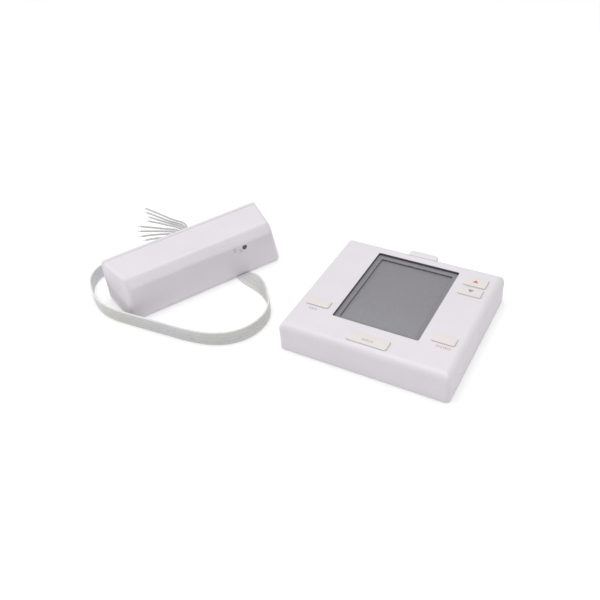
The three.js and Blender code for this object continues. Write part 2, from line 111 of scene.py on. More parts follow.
def add_studio():
    """A pale surround, a broad light overhead and a weaker one from the left."""
    world = bpy.data.worlds.new("studio")
    world.use_nodes = True
    background = world.node_tree.nodes["Background"]
    background.inputs["Color"].default_value = (1, 1, 1, 1)
    background.inputs["Strength"].default_value = WORLD_STRENGTH
    scene.world = world
    add_area_light("overhead", **OVERHEAD)
    add_area_light("fill", **FILL)
    scene.view_settings.view_transform = "Standard"


# ---------------------------------------------------------------- materials


class Shader:
    """A material's node tree, with its Principled shader and the piece's own coordinates."""

    def __init__(self, name, colour, roughness, metallic=0.0):
        self.material = bpy.data.materials.new(name)
        self.material.use_nodes = True
        self.tree = self.material.node_tree
        self.principled = self.tree.nodes["Principled BSDF"]
        self.principled.inputs["Metallic"].default_value = metallic
        self.principled.inputs["Roughness"].default_value = roughness
        self.principled.inputs["Base Color"].default_value = (*colour, 1)
        self.place = self.node("ShaderNodeTexCoord").outputs["Object"]
        self.bump_normal = None

    def node(self, kind, **settings):
        made = self.tree.nodes.new(kind)
        for key, value in settings.items():
            setattr(made, key, value)
        return made

    def link(self, start, end):
        self.tree.links.new(start, end)

    def noise(self, scale, detail, stretch=None):
        """Noise over the piece, with its features a metre divided by the scale across."""
        made = self.node("ShaderNodeTexNoise")
        made.inputs["Scale"].default_value = scale
        made.inputs["Detail"].default_value = detail
        self.link(self.stretched(stretch) if stretch else self.place, made.inputs["Vector"])
        return made.outputs["Fac"]

    def stretched(self, scale):
        mapping = self.node("ShaderNodeMapping")
        mapping.inputs["Scale"].default_value = scale
        self.link(self.place, mapping.inputs["Vector"])
        return mapping.outputs["Vector"]

    def ramp(self, source, stops):
        """A colour ramp over the source, its stops given as places and colours."""
        made = self.node("ShaderNodeValToRGB")
        elements = made.color_ramp.elements
        while len(elements) < len(stops):
            elements.new(0.5)
        for element, (at, colour) in zip(elements, stops):
            element.position = at
            element.color = (*colour, 1)
        self.link(source, made.inputs["Fac"])
        return made.outputs["Color"]

    def spread(self, source, low, high):
        """The source's usual middle range, 0.3 to 0.7, spread from low to high."""
        made = self.node("ShaderNodeMapRange")
        made.inputs["From Min"].default_value = 0.3
        made.inputs["From Max"].default_value = 0.7
        made.inputs["To Min"].default_value = low
        made.inputs["To Max"].default_value = high
        self.link(source, made.inputs["Value"])
        return made.outputs["Result"]

    def mix(self, share, first, second, blend="MIX"):
        """Two colours mixed; the share and each colour may be a socket or a plain value."""
        made = self.node("ShaderNodeMix", data_type="RGBA", blend_type=blend)
        for name, value in (("Factor", share), ("A", first), ("B", second)):
            socket = made.inputs[name]
            if hasattr(value, "is_linked"):
                self.link(value, socket)
            else:
                socket.default_value = value if isinstance(value, float) else (*value, 1)
        return made.outputs["Result"]

    def colour(self, source):
        self.link(source, self.principled.inputs["Base Color"])

    def roughness(self, source):
        self.link(source, self.principled.inputs["Roughness"])

    def bump(self, source, height, strength=1.0):
        """Relief from the source, on top of any relief already added."""
        made = self.node("ShaderNodeBump")
        made.inputs["Distance"].default_value = height
        made.inputs["Strength"].default_value = strength
        self.link(source, made.inputs["Height"])
        if self.bump_normal:
            self.link(self.bump_normal, made.inputs["Normal"])
        self.bump_normal = made.outputs["Normal"]
        self.link(self.bump_normal, self.principled.inputs["Normal"])


def shaded(colour, factor):
    """The colour made darker or lighter by a factor."""
    return tuple(min(1.0, channel * factor) for channel in colour)


def moulded(name, colour, roughness, shaded_hollows_and_specks=True):
    """Moulded plastic: a fine grain and slow flow mottling, with painted shade darkening its hollows, and
    fine dust specks.
    """
    shader = Shader(name, colour, roughness)
    mottled = shader.ramp(shader.noise(22, 2), ((0.3, shaded(colour, 0.975)), (0.7, shaded(colour, 1.015))))
    if shaded_hollows_and_specks:
        # painted shade: the colour is darkened where the surface curves inward, in creases and hollows
        edges = shader.node("ShaderNodeNewGeometry").outputs["Pointiness"]
        hollow_shade = shader.ramp(edges, ((0.44, (0.86, 0.85, 0.85)), (0.5, (1, 1, 1))))
        specks = shader.ramp(shader.noise(900, 1), ((0.24, (0.93, 0.92, 0.91)), (0.31, (1, 1, 1))))
        mottled = shader.mix(1.0, mottled, hollow_shade, "MULTIPLY")
        mottled = shader.mix(1.0, mottled, specks, "MULTIPLY")
    shader.colour(mottled)
    shader.roughness(shader.spread(shader.noise(60, 4), roughness - 0.06, roughness + 0.07))
    shader.bump(shader.noise(2600, 2), 0.012 * MM)
    shader.bump(shader.noise(35, 1), 0.05 * MM, 0.25)
    return shader.material


def surround_with_painted_shade():
    """Plastic round the display, paler from the ledge down; above the ledge its walls are painted dark, a
    painted shade for the recess.
    """
    # wall is the painted shade of the recess walls, ledge the tone of the lit ledge
    wall, ledge = (0.075, 0.072, 0.079), (0.225, 0.22, 0.235)
    shader = Shader("surround_with_painted_shade", wall, 0.5)
    axes = shader.node("ShaderNodeSeparateXYZ")
    shader.link(shader.place, axes.inputs["Vector"])
    on_ledge = shader.node("ShaderNodeMath", operation="LESS_THAN")
    shader.link(axes.outputs["Z"], on_ledge.inputs[0])
    on_ledge.inputs[1].default_value = LEDGE_TOP + 0.1 * MM
    mottle = shader.noise(300, 2)
    ledge_tone = shader.ramp(mottle, ((0.3, shaded(ledge, 0.94)), (0.7, shaded(ledge, 1.05))))
    wall_painted_shade = shader.ramp(mottle, ((0.3, shaded(wall, 0.85)), (0.7, shaded(wall, 1.15))))
    shader.colour(shader.mix(on_ledge.outputs["Value"], wall_painted_shade, ledge_tone))
    shader.roughness(shader.spread(shader.noise(80, 3), 0.44, 0.58))
    shader.bump(shader.noise(2600, 2), 0.01 * MM)
    return shader.material


def metal(name, colour, roughness, stretch=(1, 1, 1)):
    """Plated or bare metal with a fine brushed tone."""
    shader = Shader(name, colour, roughness, 1.0)
    brushed = shader.noise(1400, 3, stretch)
    shader.colour(shader.ramp(brushed, ((0.3, shaded(colour, 0.86)), (0.7, shaded(colour, 1.08)))))
    shader.roughness(shader.spread(brushed, roughness - 0.08, roughness + 0.12))
    shader.bump(brushed, 0.01 * MM)
    return shader.material


def circuit_board():
    """Green laminate with rows of copper under the mask, and a faint weave."""
    laminate = (0.045, 0.20, 0.085)
    shader = Shader("circuit_board", laminate, 0.38)
    tracks = shader.node("ShaderNodeTexBrick", offset=0.37, squash=0.6)
    tracks.inputs["Scale"].default_value = 260
    tracks.inputs["Mortar Size"].default_value = 0.035
    tracks.inputs["Color1"].default_value = (*laminate, 1)
    tracks.inputs["Color2"].default_value = (*shaded(laminate, 0.9), 1)
    tracks.inputs["Mortar"].default_value = (*shaded(laminate, 1.9), 1)
    shader.link(shader.place, tracks.inputs["Vector"])
    weave = shader.noise(1500, 2)
    shader.colour(shader.mix(0.25, tracks.outputs["Color"], shader.ramp(weave, (
        (0.3, shaded(laminate, 0.7)), (0.7, shaded(laminate, 1.5)),
    ))))
    shader.roughness(shader.spread(weave, 0.3, 0.46))
    shader.bump(tracks.outputs["Fac"], 0.03 * MM, 0.6)
    return shader.material


def display_glass():
    """An unlit reflective display: grey, with a painted reflection that makes it a little paler toward its
    lower end.
    """
    grey = (0.215, 0.210, 0.227)
    shader = Shader("display_glass", grey, 0.28)
    low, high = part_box("display_panel")
    axes = shader.node("ShaderNodeSeparateXYZ")
    shader.link(shader.place, axes.inputs["Vector"])
    height = shader.node("ShaderNodeMapRange")
    height.inputs["From Min"].default_value = low[1]
    height.inputs["From Max"].default_value = high[1]
    shader.link(axes.outputs["Y"], height.inputs["Value"])
    # painted reflection: paler toward the lower end, darker toward the top
    tone = shader.ramp(height.outputs["Result"], (
        (0.0, (0.264, 0.260, 0.276)), (0.45, grey), (1.0, (0.195, 0.181, 0.203)),
    ))
    cells = shader.noise(5200, 0)
    cell_tone = shader.ramp(cells, ((0.4, (0.12, 0.12, 0.13)), (0.6, (0.3, 0.3, 0.31))))
    shader.colour(shader.mix(0.08, tone, cell_tone))
    shader.roughness(shader.spread(shader.noise(40, 3), 0.24, 0.33))
    shader.bump(cells, 0.004 * MM)
    shader.principled.inputs["Coat Weight"].default_value = 0.25
    shader.principled.inputs["Coat Roughness"].default_value = 0.2
    return shader.material


def clear_sheet():
    """A nearly clear window with faint smears."""
    shader = Shader("clear_sheet", (0.5, 0.49, 0.52), 0.12)
    smears = shader.noise(55, 4)
    shader.roughness(shader.spread(smears, 0.12, 0.24))
    shader.bump(shader.noise(2400, 1), 0.002 * MM, 0.3)
    shader.principled.inputs["Alpha"].default_value = 0.16
    return shader.material


# Tones across the ribbon, from one edge to the other: paler rims and duller conductors, painted highlights
# and painted shade that stand in for the light on its edges and rounded conductors
RIBBON_LIGHT_AND_SHADE = (
    (0.0, 1.06), (0.1, 0.97), (0.2, 1.0), (0.3, 0.9), (0.42, 1.02),
    (0.55, 0.92), (0.68, 1.03), (0.8, 0.95), (0.93, 1.12),
)
RIBBON_PAINTED_STOPS = [(at, (tone, tone, tone)) for at, tone in RIBBON_LIGHT_AND_SHADE]


def insulation(base=(0.655, 0.652, 0.69), ribbon=False):
    """Grey-white soft PVC, a little yellowed in patches, with dull handling marks."""
    shader = Shader("insulation", base, 0.5)
    patches = shader.ramp(shader.noise(14, 2), ((0.34, (base[0], base[1], base[2] * 0.9)), (0.6, base)))
    marks = shader.ramp(shader.noise(420, 3), ((0.3, (0.9, 0.9, 0.9)), (0.45, (1, 1, 1))))
    tone = shader.mix(1.0, patches, marks, "MULTIPLY")
    if ribbon:
        # painted highlights and shade across the ribbon, for its rims and rounded conductors
        across = shader.node("ShaderNodeAttribute", attribute_name="across")
        painted_light_across = shader.ramp(across.outputs["Fac"], RIBBON_PAINTED_STOPS)
        tone = shader.mix(1.0, tone, painted_light_across, "MULTIPLY")
    shader.colour(tone)
    shader.roughness(shader.spread(shader.noise(120, 3), 0.42, 0.6))
    shader.bump(shader.noise(1800, 2), 0.02 * MM)
    return shader.material


def rubber(name, colour):
    """Dull dark elastomer."""
    shader = Shader(name, colour, 0.75)
    shader.colour(shader.ramp(shader.noise(300, 3), ((0.3, shaded(colour, 0.8)), (0.7, shaded(colour, 1.3)))))
    shader.roughness(shader.spread(shader.noise(200, 2), 0.68, 0.85))
    shader.bump(shader.noise(2400, 2), 0.03 * MM)
    return shader.material


def pad_print(name, colour):
    """Printing ink, worn a little thin in places."""
    shader = Shader(name, colour, 0.6)
    thin = shader.noise(1800, 3)
    shader.colour(shader.ramp(thin, ((0.25, shaded(colour, 1.25)), (0.6, colour))))
    shader.roughness(shader.spread(thin, 0.5, 0.7))
    shader.bump(thin, 0.005 * MM)
    return shader.material


LEDGE_TOP = 19.8 * MM  # the display surround's ledge, flush with the underside of the controller's face

SHELL = moulded("shell_plastic", (0.705, 0.675, 0.713), 0.42)
KEY = moulded("key_plastic", (0.715, 0.670, 0.660), 0.44, shaded_hollows_and_specks=False)
FRAME_PAINTED_SHADE = surround_with_painted_shade()
BLACK = moulded("chip_black", (0.022, 0.022, 0.025), 0.5, shaded_hollows_and_specks=False)
RELAY = moulded("relay_case", (0.03, 0.045, 0.07), 0.3, shaded_hollows_and_specks=False)
GUIDE = moulded("light_guide", (0.82, 0.84, 0.80), 0.35, shaded_hollows_and_specks=False)
SLEEVE = moulded("cell_sleeve", (0.05, 0.09, 0.15), 0.3, shaded_hollows_and_specks=False)
LENS = moulded("light_lens", (0.10, 0.08, 0.09), 0.25, shaded_hollows_and_specks=False)
STEEL = metal("plated_steel", (0.62, 0.62, 0.61), 0.3)
COPPER = metal("copper_wire", (0.72, 0.36, 0.18), 0.32)
TINNED = metal("tinned_strand", (0.70, 0.69, 0.66), 0.34, (1, 6, 1))
BOARD = circuit_board()
GLASS = display_glass()
CLEAR = clear_sheet()
RUBBER = rubber("black_rubber", (0.03, 0.03, 0.032))
INSULATION = insulation()
WIRE_SLEEVE = insulation((0.52, 0.515, 0.545))
RIBBON = insulation(ribbon=True)
PRINT_GREY = pad_print("print_grey", (0.30, 0.27, 0.28))
PRINT_FAINT = pad_print("print_faint", (0.45, 0.43, 0.45))
PRINT_RED = pad_print("print_red", (0.50, 0.16, 0.14))

NODE_MATERIALS = {
    "shell_plastic": SHELL, "key_plastic": KEY, "frame_plastic": FRAME_PAINTED_SHADE, "window_clear": CLEAR,
    "display_glass": GLASS, "light_guide": GUIDE, "black_rubber": RUBBER, "board_laminate": BOARD,
    "chip_black": BLACK, "plated_steel": STEEL, "copper_wire": COPPER, "cell_sleeve": SLEEVE,
    "relay_case": RELAY, "lead_insulation": INSULATION, "light_lens": LENS,
}

# ---------------------------------------------------------------- mesh helpers


def new_piece(name, mesh, material, body, replaced=(), place=None):
    """A visible piece on a body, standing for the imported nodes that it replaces."""
    piece = bpy.data.objects.new(name, mesh)
    scene.collection.objects.link(piece)
    if place is not None:
        mesh.transform(place)
    mesh.materials.clear()
    mesh.materials.append(material)
    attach(piece, body)
    if replaced:
        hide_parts(*replaced)
    return piece


def as_mesh(name, points, faces):
    """A mesh made from its points and faces."""
    mesh = bpy.data.meshes.new(name)
    mesh.from_pydata([tuple(point) for point in points], [], faces)
    mesh.validate()
    return mesh


def smooth(mesh, angle=40):
    """Shades the mesh smooth, apart from the edges sharper than the angle."""
    mesh.shade_smooth()
    mesh.set_sharp_from_angle(angle=math.radians(angle))


def rounded_outline(width, height, radius, centre=(0, 0), steps=8):
    """The corners' arcs of a rounded rectangle, anticlockwise from the right."""
    points = []
    for corner, (across, along) in enumerate(((1, 1), (-1, 1), (-1, -1), (1, -1))):
        x = centre[0] + across * (width / 2 - radius)
        y = centre[1] + along * (height / 2 - radius)
        for i in range(steps + 1):
            angle = (corner + i / steps) * math.pi / 2
            points.append((x + radius * math.cos(angle), y + radius * math.sin(angle)))
    return points


def loft(name, rings):
    """A closed mesh through rings of points, with flat ends."""
    count = len(rings[0])
    points = [point for ring in rings for point in ring]
    faces = []
    for level in range(len(rings) - 1):
        low, high = level * count, (level + 1) * count
        for i in range(count):
            j = (i + 1) % count
            faces.append((low + i, low + j, high + j, high + i))
    faces.append(tuple(reversed(range(count))))
    faces.append(tuple(range(len(points) - count, len(points))))
    return as_mesh(name, points, faces)


SMALLEST_CORNER = 0.05 * MM


def slab(name, size, radius, z0, z1, top=0.0, bottom=0.0, centre=(0, 0), steps=8):
    """A rounded slab from z0 to z1, with its top and bottom edges rounded."""
    rounds = 8 if top > 2 * MM else 5
    profile = []
    if bottom:
        for i in range(rounds + 1):
            angle = (1 - i / rounds) * math.pi / 2
            profile.append((bottom * (1 - math.cos(angle)), z0 + bottom - bottom * math.sin(angle)))
    else:
        profile.append((0.0, z0))
    if top:
        for i in range(rounds + 1):
            angle = i / rounds * math.pi / 2
            profile.append((top * (1 - math.cos(angle)), z1 - top + top * math.sin(angle)))
    else:
        profile.append((0.0, z1))
    rings = []
    for inset, z in profile:
        corner = max(radius - inset, SMALLEST_CORNER)
        outline = rounded_outline(size[0] - 2 * inset, size[1] - 2 * inset, corner, centre, steps)
        rings.append([(x, y, z) for x, y in outline])
    return loft(name, rings)


def carve(mesh, cutter, operation="DIFFERENCE"):
    """The mesh after an exact boolean with the cutter, which is used up."""
    body = bpy.data.objects.new("carved", mesh)
    tool = bpy.data.objects.new("cutter", cutter)
    for thing in (body, tool):
        scene.collection.objects.link(thing)
    modifier = body.modifiers.new("carve", "BOOLEAN")
    modifier.operation = operation
    modifier.solver = "EXACT"
    modifier.object = tool
    graph = bpy.context.evaluated_depsgraph_get()
    result = bpy.data.meshes.new_from_object(body.evaluated_get(graph))
    bpy.data.objects.remove(body)
    bpy.data.objects.remove(tool)
    bpy.data.meshes.remove(cutter)
    return result


WELD = 1e-6


def soften(mesh, radius, wanted, angle, segments=3):
    """Rounds the mesh's edges that are sharper than the angle and whose middle point is wanted."""
    shape = bmesh.new()
    shape.from_mesh(mesh)
    bmesh.ops.remove_doubles(shape, verts=shape.verts, dist=WELD)
    bmesh.ops.dissolve_limit(
        shape, angle_limit=math.radians(1), verts=shape.verts, edges=shape.edges, delimit={"NORMAL"}
    )
    limit = math.radians(angle)
    edges = []
    for edge in shape.edges:
        if len(edge.link_faces) != 2 or edge.calc_face_angle(0) < limit:
            continue
        if wanted((edge.verts[0].co + edge.verts[1].co) / 2):
            edges.append(edge)
    bmesh.ops.bevel(
        shape, geom=edges, offset=radius, offset_type="OFFSET", segments=segments, profile=0.5,
        affect="EDGES", clamp_overlap=True,
    )
    bmesh.ops.remove_doubles(shape, verts=shape.verts, dist=WELD)
    shape.normal_update()
    shape.to_mesh(mesh)
    shape.free()


def box_mesh(low, high):
    """A box between its lowest and highest corners."""
    (x0, y0, z0), (x1, y1, z1) = low, high
    corners = [(x, y, z) for z in (z0, z1) for x, y in ((x0, y0), (x1, y0), (x1, y1), (x0, y1))]
    faces = [(3, 2, 1, 0), (4, 5, 6, 7), (0, 1, 5, 4), (1, 2, 6, 5), (2, 3, 7, 6), (3, 0, 4, 7)]
    return as_mesh("box", corners, faces)


def drum(radius, low, high, place, sides=32):
    """A cylinder along Y, from low to high, with its axis at a place in X and Z."""
    mesh = bpy.data.meshes.new("drum")
    shape = bmesh.new()
    bmesh.ops.create_cone(
        shape, cap_ends=True, segments=sides, radius1=radius, radius2=radius, depth=high - low
    )
    centre = (place[0], (low + high) / 2, place[1])
    shape.transform(Matrix.Translation(centre) @ Matrix.Rotation(-math.pi / 2, 4, "X"))
    shape.to_mesh(mesh)
    shape.free()
    return mesh


# ---------------------------------------------------------------- the lead and its wires

RECEIVER_AT = (-157.8 * MM, -12.8 * MM, 0)
RECEIVER_TURN = math.radians(61.2)
RECEIVER_PLACE = Matrix.Translation(RECEIVER_AT) @ Matrix.Rotation(RECEIVER_TURN, 4, "Z")

# The ribbon's route in the receiver's frame, in millimetres: x, y, rise above its resting height, and roll,
# 0 flat to 1 on edge
ROUTE = [
    (-28, 24.3, 1.8, 1), (-28, 30, 1.4, 1), (-32, 39.1, 0.6, 1), (-40.8, 48.1, 0, 1),
    (-52.3, 50.9, 0, 1), (-63.6, 47.7, 0, 1), (-71.6, 39.1, 0, 1), (-75.4, 27.6, 0, 1),
    (-76.7, 16.1, 0, 1), (-75.8, 4.1, 0, 1), (-71.6, -7.4, 0, 1), (-64.8, -18.9, 0, 1),
    (-57.4, -30.7, 0, 1), (-48.8, -43.9, 0, 1), (-38, -60.5, 0, 1), (-27.2, -73.3, 0, 1),
    (-16.4, -80.9, 0, 1), (-5, -83.9, 0, 1), (7.2, -82.5, 0, 1), (17.8, -76.7, 0, 1),
    (24.6, -68.3, 0, 1), (28.1, -58.9, 0, 0.95), (29.8, -52.4, 0, 0.84), (30.6, -45.9, 0, 0.72),
    (30.7, -39.9, 0, 0.58), (30.3, -33.9, 0, 0.42), (29.9, -28.4, 0, 0.25), (29.6, -23.4, 0, 0.09),
    (29.4, -18.9, 0, 0), (28.8, -12.9, 0, 0), (26.8, -0.9, 0, 0), (23.6, 13.1, 0, 0),
    (20.4, 27.1, 0, 0), (18, 43.1, 0, 0), (17.2, 60.8, 0, 0),
]
RIBBON_WIDTH = 11.2 * MM
RIBBON_THICKNESS = 1.4 * MM
RIBBON_STEP = 1.5 * MM
CONDUCTORS = 8
PITCH = RIBBON_WIDTH / CONDUCTORS
WEB_ANGLE = 28  # degrees above the ribbon's middle, where one conductor's round meets the next
FLOOR_GAP = 0.1 * MM
RIBBON_END = (17.2 * MM, 61.1 * MM)
# Each wire's way past the split, in the same frame, in millimetres
WIRE_ROUTES = [
    [(23.3, 77.6), (17.6, 90.2), (12.5, 104.6), (5.2, 124.1)],
    [(20.8, 76.4), (14.8, 88.5), (9.4, 101.9), (3, 117.5)],
    [(18.7, 75.3), (12.8, 86.6), (7.5, 97.1), (2, 108.3)],
    [(16.5, 74.1), (10.6, 84.3), (5.1, 93.3), (-1.4, 102.7)],
    [(13.7, 72.4), (5.8, 81.1), (-2.6, 90.5), (-11.2, 99.7)],
    [(11.5, 70.3), (3.4, 78.1), (-5.1, 85.1), (-14.3, 92.1)],
    [(9.2, 68.1), (1.1, 74.3), (-7.7, 79.5), (-16.9, 83.8)],
    [(6.8, 65.3), (-0.6, 69.5), (-8.6, 73.1), (-16.4, 75.9)],
]
WIRE_RADIUS = 0.66 * MM
WIRE_STEP = 1 * MM
STRIPPED = 3 * MM
STRAND_RADIUS = 0.36 * MM
CURVE_PARTS = 24  # fine points in each stretch of a route, from which the even steps are taken


def hermite(first, second, leave, arrive, share):
    """A point of the cubic from first to second, with its slopes at both."""
    square, cube = share**2, share**3
    return (
        first * (2 * cube - 3 * square + 1)
        + leave * (cube - 2 * square + share)
        + second * (3 * square - 2 * cube)
        + arrive * (cube - square)
    )


def catmull(points, index, share):
    """A point on the centripetal Catmull-Rom curve, in the stretch that starts at index."""
    first, second = points[index], points[index + 1]
    before = points[index - 1] if index else first * 2 - second
    after = points[index + 2] if index + 2 < len(points) else second * 2 - first
    gaps = [max((b - a).length, 1e-9) ** 0.5 for a, b in ((before, first), (first, second), (second, after))]

    def tangent(a, b, c, gap, next_gap):
        return (b - a) / gap - (c - a) / (gap + next_gap) + (c - b) / next_gap

    leave = tangent(before, first, second, gaps[0], gaps[1]) * gaps[1]
    arrive = tangent(first, second, after, gaps[1], gaps[2]) * gaps[1]
    return hermite(first, second, leave, arrive, share)


def along_route(points, step):
    """Points evenly spaced along the curve, each with its place in the list of points, such as 3.25."""
    fine = []
    for index in range(len(points) - 1):
        for i in range(CURVE_PARTS):
            share = i / CURVE_PARTS
            fine.append((catmull(points, index, share), index + share))
    fine.append((points[-1].copy(), float(len(points) - 1)))
    lengths = [0.0]
    for (a, _), (b, _) in zip(fine, fine[1:]):
        lengths.append(lengths[-1] + (b - a).length)
    count = max(2, round(lengths[-1] / step))
    spaced, at = [], 0
    for i in range(count + 1):
        wanted = lengths[-1] * i / count
        while at < len(lengths) - 2 and lengths[at + 1] < wanted:
            at += 1
        share = (wanted - lengths[at]) / max(lengths[at + 1] - lengths[at], 1e-12)
        (start, start_at), (end, end_at) = fine[at], fine[at + 1]
        spaced.append((start.lerp(end, share), start_at + (end_at - start_at) * share))
    return spaced, lengths[-1]


def eased(values, at):
    """A smooth curve through evenly spaced values, read at a place in the list such as 3.25."""
    index = min(int(at), len(values) - 2)
    share = at - index
    first, second = values[index], values[index + 1]
    before = values[max(index - 1, 0)]
    after = values[min(index + 2, len(values) - 1)]
    return hermite(first, second, (second - before) / 2, (after - first) / 2, share)


def ribbon_section():
    """The ribbon's outline: a row of round conductors joined by thin webs, as (across, through)."""
    half = RIBBON_THICKNESS / 2
    top = []
    for conductor in range(CONDUCTORS):
        middle = (conductor - (CONDUCTORS - 1) / 2) * PITCH
        for i in range(7):
            angle = math.radians(180 - WEB_ANGLE - i * (180 - 2 * WEB_ANGLE) / 6)
            top.append((middle + PITCH / 2 * math.cos(angle) * 1.08, half * math.sin(angle)))
    edge = RIBBON_WIDTH / 2
    right_end = [(edge * 0.997, half * 0.22), (edge * 0.997, -half * 0.22)]
    left_end = [(-x, -y) for x, y in right_end]
    return top + right_end + [(-x, -y) for x, y in top] + left_end


def make_ribbon():
    """The flat lead: its section swept along the route, rolled from on edge to flat."""
    plan = [Vector((x, y, 0)) * MM for x, y, _, _ in ROUTE]
    spaced, _ = along_route(plan, RIBBON_STEP)
    section = ribbon_section()
    rises = [rise for _, _, rise, _ in ROUTE]
    rolls = [roll for _, _, _, roll in ROUTE]
    rings, centres = [], []
    for i, (point, at) in enumerate(spaced):
        rise = max(eased(rises, at), 0.0)
        roll = min(max(eased(rolls, at), 0.0), 1.0) * math.pi / 2
        lift = FLOOR_GAP + RIBBON_WIDTH / 2 * math.sin(roll) + RIBBON_THICKNESS / 2 * math.cos(roll)
        centre = point + UP * (lift + rise * MM)
        ahead = (spaced[min(i + 1, len(spaced) - 1)][0] - spaced[max(i - 1, 0)][0]).normalized()
        across = ahead.cross(UP) * math.cos(roll) + UP * math.sin(roll)
        through = ahead.cross(across)
        rings.append([centre + across * a + through * b for a, b in section])
        centres.append(centre)
    mesh = loft("ribbon", rings)
    mesh.flip_normals()
    across = mesh.attributes.new("across", "FLOAT", "POINT")
    across.data.foreach_set("value", [a / RIBBON_WIDTH + 0.5 for _ in rings for a, _ in section])
    smooth(mesh, 50)
    ribbon = new_piece(
        "ribbon_lead", mesh, RIBBON, "receiver", ["ribbon_cable"], RECEIVER_PLACE
    )


def make_wire(index, route):
    """One wire from the ribbon's end along its route, with its bare tip."""
    offset = (index - (CONDUCTORS - 1) / 2) * PITCH
    turn = (1.5 + 0.6 * (CONDUCTORS - 1 - index)) * MM
    height = FLOOR_GAP + RIBBON_THICKNESS / 2
    start_x, start_y = RIBBON_END[0] - offset, RIBBON_END[1]
    points = [Vector((start_x, start_y, height)), Vector((start_x, start_y + turn, height))]
    points += [Vector((x * MM, y * MM, height)) for x, y in route]
    spaced, length = along_route(points, WIRE_STEP)
    places = [RECEIVER_PLACE @ point for point, _ in spaced]
    cut = len(places) - round(STRIPPED / length * (len(places) - 1))

    curve = bpy.data.curves.new(f"wire_{index + 1}", "CURVE")
    curve.dimensions = "3D"
    curve.bevel_depth = WIRE_RADIUS
    curve.bevel_resolution = 4
    curve.use_fill_caps = True
    curve.twist_mode = "MINIMUM"
    spline = curve.splines.new("POLY")
    spline.points.add(cut - 1)
    for spot, place in zip(spline.points, places):
        spot.co = (*place, 1)
    curve.materials.append(WIRE_SLEEVE)
    wire = bpy.data.objects.new(f"insulated_wire_{index + 1}", curve)
    scene.collection.objects.link(wire)
    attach(wire, "receiver")
    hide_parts(f"wire_{index + 1}")

    strands = strand_mesh(places[cut - 2:], index)
    tip = new_piece(f"stripped_tip_{index + 1}", strands, TINNED, "receiver")


def strand_mesh(places, index):
    """Seven fine strands twisted together, as one fluted rod that narrows at its end."""
    rings = []
    flutes, points_each, twist = 6, 5, 0.7
    for i, place in enumerate(places):
        ahead = (places[min(i + 1, len(places) - 1)] - places[max(i - 1, 0)]).normalized()
        side = ahead.cross(UP).normalized()
        top = side.cross(ahead)
        last = i == len(places) - 1
        ring = []
        for k in range(flutes * points_each):
            angle = 2 * math.pi * k / (flutes * points_each) + i * twist + index
            lobe = 0.86 + 0.14 * abs(math.cos(flutes * (angle - i * twist - index) / 2))
            reach = STRAND_RADIUS * lobe * (0.55 if last else 1.0)
            ring.append(place + side * (reach * math.cos(angle)) + top * (reach * math.sin(angle)))
        rings.append(ring)
    mesh = loft("strands", rings)
    smooth(mesh, 60)
    return mesh


add_camera()
make_ribbon()
for wire_index, wire_route in enumerate(WIRE_ROUTES):
    make_wire(wire_index, wire_route)

# ---------------------------------------------------------------- controller


def span(node):
    """A node's lowest and highest corners as vectors."""
    low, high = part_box(node)
    return Vector(low), Vector(high)


KEY_NAMES = ("up", "down", "system", "hold", "fan")
FLANGE_REACH = 0.5 * MM  # a key's flange past its cap
COVER_LOW, COVER_HIGH = span("front_cover")
FACE = COVER_HIGH.z
TOP_SIDE = COVER_HIGH.y
WALL = 2.2 * MM
COVER_CORNER = 3.1 * MM
COVER_FILLET = 5.4 * MM
PAST = 5 * MM  # how far a cutter runs past the face that it cuts
CUT_DEPTH = 8 * MM  # how far it reaches in from the controller's face
FIT = 0.3 * MM
KEY_FIT = 0.1 * MM
ON_FACE = 0.05 * MM  # an edge's middle nearer to a face than this counts as lying on it

FRAME_LOW, FRAME_HIGH = span("display_frame")
FRAME_FLANGE = 2.6 * MM
OPENING_CORNER = 1.2 * MM
LINING = 0.9 * MM  # the dark lining lies behind the face's thin skin, which reaches in to the opening
SKIN = 0.35 * MM
LEDGE_WIDTH = 2.4 * MM + FIT + LINING

LIP_HALF = 10.3 * MM
LIP_THICKNESS = 2.8 * MM
LIP_INWARD = 3.8 * MM  # how far the finger lip lies over the cover's top side
NOTCH_INWARD = 4.1 * MM
NOTCH_BOTTOM = 12.9 * MM
DRAWER_OPENING_TOP = 14 * MM
DRAWER_RIM = 13.2 * MM
DRAWER_FRONT = 1.8 * MM
DRAWER_SIDE = 1.4 * MM
DRAWER_BACK = 1.2 * MM
DRAWER_FLOOR = 1.1 * MM


def key_size(name):
    """A key cap's centre and size, inside its flange."""
    low, high = span(f"{name}_button")
    size = (high.x - low.x - 2 * FLANGE_REACH, high.y - low.y - 2 * FLANGE_REACH)
    return ((low.x + high.x) / 2, (low.y + high.y) / 2), size


def display_opening():
    """The display opening's centre and size, which the frame's flange lies round."""
    centre = ((FRAME_LOW.x + FRAME_HIGH.x) / 2, (FRAME_LOW.y + FRAME_HIGH.y) / 2)
    size = (FRAME_HIGH.x - FRAME_LOW.x - 2 * FRAME_FLANGE, FRAME_HIGH.y - FRAME_LOW.y - 2 * FRAME_FLANGE)
    return centre, size


